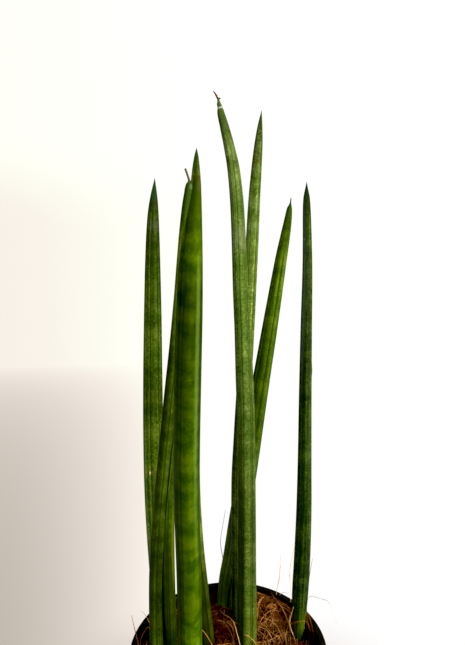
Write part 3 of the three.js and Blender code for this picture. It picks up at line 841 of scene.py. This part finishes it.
def coir_fibre():
    """Coconut husk fibre: dry, stiff and slightly shiny, from red-brown to straw. Each
    fibre has its own shade, with darker stretches where bits of pith still cling."""
    material, tree, output = new_material("dry_coconut_fibre")
    tint = add_node(tree, "Attribute", attribute_name="fibre_tint").outputs["Fac"]
    coords = add_node(tree, "TexCoord").outputs["Object"]
    patches = add_node(tree, "TexNoise", {"Vector": coords, "Scale": 1 / (6 * mm), "Detail": 3.0})
    mix = add_node(tree, "Math", {0: patches, 1: 0.5, 2: -0.25}, operation="MULTIPLY_ADD")
    shade = add_node(tree, "Math", {0: tint, 1: mix}, operation="ADD", use_clamp=True)
    ramp = add_node(tree, "ValToRGB", {"Fac": shade})
    stops = ramp.color_ramp.elements
    stops[0].color = colour("#1c0804")
    stops[1].position, stops[1].color = 1.0, colour("#f6e2c6")
    stops.new(0.3).color = colour("#602406")
    stops.new(0.6).color = colour("#ae6c28")
    stops.new(0.85).color = colour("#e0b070")
    grain = add_node(tree, "TexNoise", {"Vector": coords, "Scale": 1 / (0.5 * mm), "Detail": 2.0})
    bump = add_node(tree, "Bump", {"Height": grain, "Strength": 0.4, "Distance": 0.08 * mm})
    shader = add_node(tree, "BsdfPrincipled", {"Base Color": ramp, "Roughness": 0.6, "IOR": 1.5,
                      "Specular IOR Level": 0.15, "Normal": bump})
    tree.links.new(shader.outputs[0], output.inputs["Surface"])
    return material


def coir_pith():
    """Coir pith and matted fibre in the shade of the loose ones: dark, crumbly and matt."""
    material, tree, output = new_material("matted_coir_pith")
    coords = add_node(tree, "TexCoord").outputs["Object"]
    clumps = add_node(tree, "TexNoise", {"Vector": coords, "Scale": 1 / (4 * mm), "Detail": 5.0,
                      "Roughness": 0.65, "Distortion": 0.8})
    ramp = add_node(tree, "ValToRGB", {"Fac": clumps})
    stops = ramp.color_ramp.elements
    stops[0].position, stops[0].color = 0.4, colour("#0a0302")
    stops[1].position, stops[1].color = 0.75, colour("#54260a")
    crumbs = add_node(tree, "TexNoise", {"Vector": coords, "Scale": 1 / (1 * mm), "Detail": 4.0})
    bump = add_node(tree, "Bump", {"Height": crumbs, "Strength": 0.9, "Distance": 0.6 * mm})
    shader = add_node(tree, "BsdfPrincipled", {"Base Color": ramp, "Roughness": 0.9, "Normal": bump})
    tree.links.new(shader.outputs[0], output.inputs["Surface"])
    return material


def painted_shade_factor(path):
    """Painted shade: fibres that start among the left group of leaves are made darker."""
    return 0.58 + 0.42 * smooth_step(4, 16, path[0].x) if path else 1


fibre_material = coir_fibre()
mat_mesh = bed_mesh()
mat_mesh.materials.append(coir_pith())
mat = add_object("coir_mat", mat_mesh)
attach(mat, "root")
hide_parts("coir_bed")

# Each strand is a path, a thickness in millimetres and a tint.
# Fibres that start among the left group of leaves are darkened as painted shade.
tangle = random.Random(tangle_seed)
coarse_strands = [(points, arches["thickness"], tangle.uniform(0.25, 0.8)) for points in arch_paths()]
for _ in range(coarse["count"]):
    path = wandering_path(tangle, coarse)
    thickness = tangle.uniform(*coarse["thickness"])
    coarse_strands.append((path, thickness, tangle.uniform(0.3, 0.85) * painted_shade_factor(path)))
fine_strands = []
for first, last, count, darkest, palest in wall_drifts:
    for _ in range(count):
        path = wall_path(tangle, tangle.uniform(first, last))
        fine_strands.append((path, tangle.uniform(*wall_thickness_range), tangle.uniform(darkest, palest)))
for _ in range(fine["count"]):
    path = wandering_path(tangle, fine)
    thickness = tangle.uniform(*fine["thickness"])
    fine_strands.append((path, thickness, 0.9 * tangle.random()**1.5 * painted_shade_factor(path)))

# Stray fibres that stand up out of the bed or lean on a leaf: thickness, tint, and the
# points each one passes, in millimetres, from its root in the bed to its free end.
stray_strands = [
    (0.55, 0.95, [(-2.5, 52, 94), (-2.5, 52.6, 106), (-3.4, 50, 120), (-5.0, 44, 134), (-6.0, 38, 148),
                  (-2.6, 38, 169)]),
    (0.5, 0.95, [(33, 45, 98), (34.6, 45, 108), (36.1, 44, 116), (36.8, 43, 125), (37.2, 43, 134)]),
    (0.5, 0.95, [(45, 42, 92), (44.5, 41, 107), (43.3, 40, 123), (44.5, 39, 133), (46.2, 39, 142)]),
    (0.3, 0.95, [(35, 46, 101), (38.5, 42, 108), (42.4, 38, 109), (44, 37, 104)]),
    (0.46, 0.4, [(49.5, 17, 92), (51.2, 17, 104), (51.3, 16.5, 117), (52.2, 16, 128), (53.2, 16, 137),
                 (55, 16, 147)]),
    (0.25, 1.0, [(50, 19, 92), (50.6, 20.5, 105), (51.8, 18.5, 116), (53, 13, 124), (57.6, 5, 127.8),
                 (61, -5, 132), (62.4, -12, 129.1), (62.7, -20, 127.2)]),
    (0.2, 0.55, [(36, 18, 97), (39.5, 9.5, 108), (43.6, 7.4, 111.4), (48.6, 8.2, 111.2), (52, 10, 106),
                  (54, 12, 95)]),
    (0.24, 0.5, [(50, 10, 92), (52.2, 12, 100), (51.4, 13, 108), (51.6, 12, 113), (53.6, 9, 106),
                 (54.4, 6, 97)]),
    (0.45, 0.8, [(44, 12, 92), (42, 9, 100), (39.2, 8.5, 108), (39.3, 8, 113.5), (41.4, 7.5, 121)]),
    (0.5, 0.4, [(-48, -5, 90), (-52.5, -5, 98), (-54.8, -4.5, 106), (-57, -4, 114), (-59.2, -4, 123.5)]),
    (0.35, 0.75, [(-43, 4, 91), (-47.2, 5, 104), (-50.8, 5, 114), (-53.2, 5, 118), (-55.3, 5, 119.8)]),
    (0.3, 0.5, [(-45, 1, 91), (-47.4, 0, 106), (-49.6, 0, 113.2), (-52.6, 0, 109.6), (-54.6, 0, 104.6),
                 (-54.4, 0, 98)]),
    (0.4, 0.6, [(-50, -8, 90), (-51.2, -8, 98), (-50.4, -8, 106), (-48.8, -7, 110)]),
    (0.34, 0.7, [(-3, -8, 91), (-6, -8, 101), (-9.9, -8, 108.5), (-13.4, -8, 114.5), (-16.6, -8, 118)]),
    (0.42, 0.85, [(-11, 47, 96), (-9.6, 44, 97.5), (-3.6, 34.5, 97.5), (0.8, 31, 97.5), (4.6, 27, 94)]),
    (0.42, 0.85, [(-9.6, 33, 94), (-7.4, 29.6, 97), (-2.7, 25.5, 97.4), (1.4, 17.5, 96.8), (3.2, 9.5, 96.6),
                 (3.6, 5, 93)]),
    (0.36, 0.8, [(10, -3, 91), (8.4, -3, 98), (6.4, -3, 107), (4.4, -2, 113.6), (3.1, -2, 118.5)]),
    (0.27, 0.75, [(21, -4, 91), (19.2, -4, 99), (16.6, -4, 106), (12.6, -4, 110.4), (9.2, -3.4, 111.6)]),
    (0.5, 0.75, [(27, 46, 102), (24, 42.5, 104), (20.6, 36, 103.6), (19.6, 28, 98)]),
    (0.55, 0.8, [(30.4, 46.1, 105), (36.4, 34.2, 103), (40.2, 25.8, 98.6), (40.4, 16, 96), (39.6, 9.7, 94)]),
    (0.5, 0.7, [(33.5, 33.5, 103), (27, 29.5, 102.6), (22.5, 26.3, 100), (18.9, 22.8, 95.6)]),
    (0.5, 0.8, [(19.6, 32, 98), (26.5, 25.2, 100.4), (32, 20, 99.6), (35.3, 13.4, 95)]),
    (0.6, 0.85, [(18, 27, 95), (22.4, 21.6, 97.4), (26, 17, 98), (30, 10.9, 94)]),
    (0.55, 0.8, [(17.6, 22.6, 95), (21, 18, 97), (23.6, 14, 97), (27.4, 8, 94)]),
    (0.5, 0.75, [(34, 22, 96), (36.6, 15, 98), (37.4, 9, 94)]),
    (0.5, 0.7, [(42.3, 32, 100), (40.4, 24, 100), (38, 17, 98), (35, 12.6, 94)]),
]
stray_steps = 4


def bent_path(points):
    """A smooth route through a stray fibre's points."""
    knots = [Vector(point) for point in points]
    knots = [2 * knots[0] - knots[1]] + knots + [2 * knots[-1] - knots[-2]]
    path = []
    for before, start, end, after in zip(knots, knots[1:], knots[2:], knots[3:]):
        for step in range(stray_steps):
            t = step / stray_steps
            square = 2 * before - 5 * start + 4 * end - after
            cube = 3 * start - before - 3 * end + after
            path.append(0.5 * (2 * start + (end - before) * t + square * t**2 + cube * t**3))
    return path + [knots[-2]]


# Chips of husk and pith among the fibres. The drifts are where they lie thickest: x, y,
# how far across, and how many.
chip_seed = 3
chip_count = 260
chip_drifts = [(-5, 14, 4.5, 26), (30, 30, 14, 60)]
chip_spread = 52
chip_limit = 48
chip_clearance = 2.5
chip_length = (0.8, 2.2)
chip_width = (0.4, 0.9)
chip_thickness = 0.4
chip_tilt = 0.6
chip_lift = (0.2, 1.4)


def chip_mesh():
    """Small flat chips, each a five-cornered flake, tilted and pressed into the bed."""
    draw = random.Random(chip_seed)
    spots = []
    for x, y, reach, count in chip_drifts:
        spots += [(x + draw.gauss(0, reach / 2), y + draw.gauss(0, reach / 2)) for _ in range(count)]
    while len(spots) < chip_count:
        spots.append((draw.uniform(-chip_spread, chip_spread), draw.uniform(-chip_spread, chip_spread)))
    bm = bmesh.new()
    tint = bm.verts.layers.float.new("fibre_tint")
    for x, y in spots:
        if leaf_distance(x, y) < chip_clearance or math.hypot(x, y) > chip_limit:
            continue
        verts = bmesh.ops.create_circle(bm, cap_ends=True, segments=5, radius=1)["verts"]
        grown = bmesh.ops.extrude_face_region(bm, geom=verts[0].link_faces[:])["geom"]
        top = [item for item in grown if isinstance(item, bmesh.types.BMVert)]
        bmesh.ops.translate(bm, verts=top, vec=(0, 0, chip_thickness))
        verts += top
        bmesh.ops.scale(bm, vec=(draw.uniform(*chip_length), draw.uniform(*chip_width), 1), verts=verts)
        turns = (draw.gauss(0, chip_tilt), draw.gauss(0, chip_tilt), draw.uniform(0, math.tau))
        tilt = Euler(turns).to_matrix()
        bmesh.ops.rotate(bm, cent=(0, 0, 0), matrix=tilt, verts=verts)
        bmesh.ops.translate(bm, verts=verts, vec=(x, y, ground_height(x, y) + draw.uniform(*chip_lift)))
        shade = draw.uniform(0.3, 0.7)
        for vert in verts:
            vert[tint] = shade
    bmesh.ops.recalc_face_normals(bm, faces=bm.faces)
    bmesh.ops.scale(bm, vec=(mm, mm, mm), verts=bm.verts)
    return made_mesh(bm, "husk_chips")


chips_mesh = chip_mesh()
chips_mesh.materials.append(fibre_material)
chips = add_object("husk_chips", chips_mesh)
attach(chips, "root")

loose_strands = [(bent_path(points), thickness, tint) for thickness, tint, points in stray_strands]
heaps = {"coarse_coir": coarse_strands, "fine_coir": fine_strands, "stray_coir": loose_strands}
for name, strands in heaps.items():
    mesh = fibre_mesh(name, strands)
    mesh.materials.append(fibre_material)
    fibres = add_object(name, mesh)
    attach(fibres, "root")

# ---- Pot -----------------------------------------------------------------------------------
# A thin nursery pot, injection moulded in black polypropylene: a tapered body, a straight
# collar and a stiff rolled lip, with eight drain holes in its flat floor.

lip_radius = 60
lip_depth = 4.5
lip_round = 1.1
collar_radius = 57.6
collar_taper = 0.7
shoulder_rise = 1.5
base_round = 1.5
pot_sides = 192
drain_count = 8
drain_radius = 4
drain_sides = 32
drain_circle = 30
tolerance = 0.001


def pot_mesh():
    """The wall is a profile spun round, with its lip and foot rounded. The floor's two
    faces are filled round the drain holes, whose edges are then bridged."""
    shoulder = pot_height - collar_depth
    under_lip = pot_height - lip_depth
    inner_top = collar_radius - wall_thickness
    rounded = {(base_radius, 0): base_round, (lip_radius, under_lip): lip_round,
               (lip_radius, pot_height): lip_round, (inner_top, pot_height): lip_round}
    profile = [(base_radius, 0), (shoulder_radius, shoulder),
               (collar_radius - collar_taper, shoulder + shoulder_rise), (collar_radius, under_lip),
               (lip_radius, under_lip), (lip_radius, pot_height), (inner_top, pot_height),
               (inner_top - collar_taper, shoulder + shoulder_rise), (pot_inner_radius(shoulder), shoulder),
               (pot_inner_radius(floor_thickness), floor_thickness)]
    bm = bmesh.new()
    corners = [bm.verts.new((radius, 0, height)) for radius, height in profile]
    line = [bm.edges.new(pair) for pair in zip(corners, corners[1:])]
    bmesh.ops.spin(bm, geom=corners + line, cent=(0, 0, 0), axis=(0, 0, 1), angle=math.tau, steps=pot_sides,
                   use_merge=True)

    drains = []
    for level in (0, floor_thickness):
        holes = []
        for i in range(drain_count):
            angle = math.tau * i / drain_count
            centre = (drain_circle * math.cos(angle), drain_circle * math.sin(angle), level)
            made = bmesh.ops.create_circle(bm, segments=drain_sides, radius=drain_radius)["verts"]
            bmesh.ops.translate(bm, verts=made, vec=centre)
            holes += list({edge for vert in made for edge in vert.link_edges})
        outline = [edge for edge in bm.edges if edge.is_boundary
                   and all(abs(vert.co.z - level) < tolerance for vert in edge.verts)]
        bmesh.ops.triangle_fill(bm, use_beauty=True, edges=outline + holes)
        drains.append(holes)
    bmesh.ops.bridge_loops(bm, edges=drains[0] + drains[1])

    for (radius, height), size in rounded.items():
        ring = [edge for edge in bm.edges if all(abs(vert.co.z - height) < tolerance
                and abs(vert.co.xy.length - radius) < tolerance for vert in edge.verts)]
        bmesh.ops.bevel(bm, geom=ring, offset=size, segments=4, profile=0.5, affect="EDGES", material=-1)
    bmesh.ops.recalc_face_normals(bm, faces=bm.faces)
    bmesh.ops.scale(bm, vec=(mm, mm, mm), verts=bm.verts)
    for face in bm.faces:
        face.smooth = True
    for edge in bm.edges:
        edge.smooth = edge.calc_face_angle(math.pi) < math.radians(30)
    return made_mesh(bm, "moulded_pot")


def black_polypropylene():
    """Injection-moulded black polypropylene: a satin skin, with faint water marks, dust and
    fine scuffs that catch the light."""
    material, tree, output = new_material("moulded_black_polypropylene")
    coords = add_node(tree, "TexCoord").outputs["Object"]
    runs = add_node(tree, "VectorMath", {0: coords, 1: (1, 1, 0.15)}, operation="MULTIPLY")
    marks = add_node(tree, "TexNoise", {"Vector": runs, "Scale": 1 / (5 * mm), "Detail": 5.0,
                     "Roughness": 0.6})
    dust = add_node(tree, "TexNoise", {"Vector": coords, "Scale": 1 / (0.8 * mm), "Detail": 2.0})
    dusty = add_node(tree, "MapRange", {"Value": dust, "From Min": 0.62, "From Max": 0.78, "To Max": 0.35})
    marked = add_node(tree, "MapRange", {"Value": marks, "From Min": 0.5, "From Max": 0.8, "To Max": 0.5})
    skin = add_node(tree, "MixRGB", {"Fac": marked, "Color1": colour("#060606"),
                    "Color2": colour("#1d1b19")})
    dusted = add_node(tree, "MixRGB", {"Fac": dusty, "Color1": skin, "Color2": colour("#4a3a2a")})
    rough = add_node(tree, "MapRange", {"Value": marks, "From Min": 0.3, "From Max": 0.7, "To Min": 0.34,
                     "To Max": 0.55})
    bump = add_node(tree, "Bump", {"Height": dust, "Strength": 0.15, "Distance": 0.05 * mm})
    shader = add_node(tree, "BsdfPrincipled", {"Base Color": dusted, "Roughness": rough, "IOR": 1.49,
                      "Normal": bump})
    tree.links.new(shader.outputs[0], output.inputs["Surface"])
    return material


pot_shape = pot_mesh()
pot_shape.materials.append(black_polypropylene())
pot = add_object("moulded_pot", pot_shape)
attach(pot, "root")
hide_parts("nursery_pot")

# ---- Floor and light -------------------------------------------------------------------
# A matt white paper floor that runs out to a white room, with a soft warm shade over its
# left. Large soft lights stand on the right, and weak ones high on the left and front.

# Where the shade starts on the floor, how far round it spreads, how it deepens and fades
# with the distance in metres, and its tints, from none to full.
shade_start = (-0.01, -0.25)
shade_spread = 0.53
shade_reach = {"start": 0.08, "full": 0.38, "fading": 0.3, "far": 3.2, "left_over": 0.27}
shade_tints = ((0, "#ffffff"), (0.12, "#fefef3"), (0.3, "#f4ebe2"), (0.5, "#e4dbd2"), (1, "#bcb4a9"))

# Near the pot the paper is lit by the lamps and takes the pot's shadow. Farther out it is
# evenly white, and so is the room, which fades into the shade on its left, low down.
contact_zone = {"near": 0.1, "far": 0.22}
room_reach = {"left": 0.54, "high": 0.38, "low": 0.2, "least": 0.35}
room_light = 0.02
paper_white = 1.01
floor_radius = 4.0


def add_shade(tree, share):
    """White that turns warm, then grey, with the depth of the shade."""
    ramp = add_node(tree, "ValToRGB", {"Fac": share})
    stops = ramp.color_ramp.elements
    for i, (position, tint) in enumerate(shade_tints):
        stop = stops[i] if i < 2 else stops.new(position)
        stop.position, stop.color = position, colour(tint)
    return ramp


floor_bm = bmesh.new()
bmesh.ops.create_circle(floor_bm, cap_ends=True, segments=96, radius=floor_radius)
floor_mesh = made_mesh(floor_bm, "floor")
floor = add_object("floor", floor_mesh)
floor_material, tree, output = new_material("matt_white_paper")
coords = add_node(tree, "TexCoord").outputs["Object"]
spot = add_node(tree, "VectorMath", {0: coords, 1: (*shade_start, 0)}, operation="SUBTRACT")
spot_parts = add_node(tree, "SeparateXYZ", {"Vector": spot})
distance = add_node(tree, "VectorMath", {0: spot}, operation="LENGTH").outputs["Value"]
aside = add_node(tree, "Math", {0: spot_parts.outputs["X"], 1: distance}, operation="DIVIDE")
leftward = add_node(tree, "MapRange", {"Value": aside, "From Min": 0.0, "From Max": -shade_spread},
                    interpolation_type="SMOOTHSTEP")
rise = add_node(tree, "MapRange", {"Value": distance, "From Min": shade_reach["start"],
                "From Max": shade_reach["full"]}, interpolation_type="SMOOTHSTEP")
fall = add_node(tree, "MapRange", {"Value": distance, "From Min": shade_reach["far"],
                "From Max": shade_reach["fading"], "To Min": shade_reach["left_over"]})
fullness = add_node(tree, "Math", {0: rise, 1: fall}, operation="MULTIPLY")
shade = add_node(tree, "Math", {0: leftward, 1: fullness}, operation="MULTIPLY")
glow = add_node(tree, "Emission", {"Color": add_shade(tree, shade), "Strength": paper_white})
away = add_node(tree, "VectorMath", {0: coords}, operation="LENGTH")
beyond = add_node(tree, "MapRange", {"Value": away.outputs["Value"], "From Min": contact_zone["near"],
                  "From Max": contact_zone["far"]}, interpolation_type="SMOOTHSTEP")
looked_at = add_node(tree, "LightPath").outputs["Is Camera Ray"]
lit_up = add_node(tree, "Math", {0: looked_at, 1: beyond}, operation="MULTIPLY")
paper = add_node(tree, "BsdfDiffuse", {"Color": colour("#e9edfb")})
both = add_node(tree, "MixShader", {0: lit_up, 1: paper, 2: glow})
tree.links.new(both.outputs[0], output.inputs["Surface"])
floor_mesh.materials.append(floor_material)

# The room: white all round, with the last of the shade on its left, and dim as a light.
world = bpy.data.worlds.new("studio")
bpy.context.scene.world = world
world.use_nodes = True
room = world.node_tree
room.nodes.clear()
heading = add_node(room, "TexCoord").outputs["Generated"]
heading_parts = add_node(room, "SeparateXYZ", {"Vector": heading})
room_left = add_node(room, "MapRange", {"Value": heading_parts.outputs["X"], "From Min": 0.0,
                     "From Max": -room_reach["left"], "To Max": shade_reach["left_over"]},
                     interpolation_type="SMOOTHSTEP")
room_low = add_node(room, "MapRange", {"Value": heading_parts.outputs["Z"],
                    "From Min": room_reach["high"], "From Max": room_reach["low"],
                    "To Min": room_reach["least"]}, interpolation_type="SMOOTHSTEP")
room_shade = add_node(room, "Math", {0: room_left, 1: room_low}, operation="MULTIPLY")
backdrop = add_node(room, "Background", {"Color": add_shade(room, room_shade), "Strength": paper_white})
dim = add_node(room, "Background", {"Color": (1, 1, 1, 1), "Strength": room_light})
seen = add_node(room, "LightPath").outputs["Is Camera Ray"]
mixed = add_node(room, "MixShader", {0: seen, 1: dim, 2: backdrop})
add_node(room, "OutputWorld", {"Surface": mixed})

# The picture is developed with plain contrast and clean blacks.
view = bpy.context.scene.view_settings
view.view_transform = "Standard"
view.use_curve_mapping = True
view.curve_mapping.black_level = (0.006, 0.006, 0.006)
view.curve_mapping.update()


def soft_light(name, place, aim, size, watts, tint):
    """A square soft light that faces a point and doesn't itself show."""
    data = bpy.data.lights.new(name, "AREA")
    data.size = size
    data.energy = watts
    data.color = colour(tint)[:3]
    light = add_object(name, data)
    light.location = place
    light.rotation_euler = (Vector(place) - Vector(aim)).to_track_quat("Z", "Y").to_euler()
    light.visible_camera = False


# Each with its place, the point that it faces, its width in metres, its watts and its tint.
soft_light("window_right", (1.9, -0.84, 0.55), (0, 0, 0.25), 1.4, 78, "#fff0d6")
soft_light("right_front", (1.2, -1.7, 0.6), (0, 0, 0.25), 1.0, 38, "#fff4e0")
soft_light("near_left", (-0.55, -0.35, 0.85), (0, 0, 0.35), 0.4, 3.6, "#fff4e0")
soft_light("overhead", (0.3, -0.2, 1.3), (0, 0.01, 0.1), 0.3, 5, "#fff0dc")
soft_light("near_front", (0.05, -0.5, 0.95), (0, 0, 0.35), 0.4, 1.3, "#fff4e0")
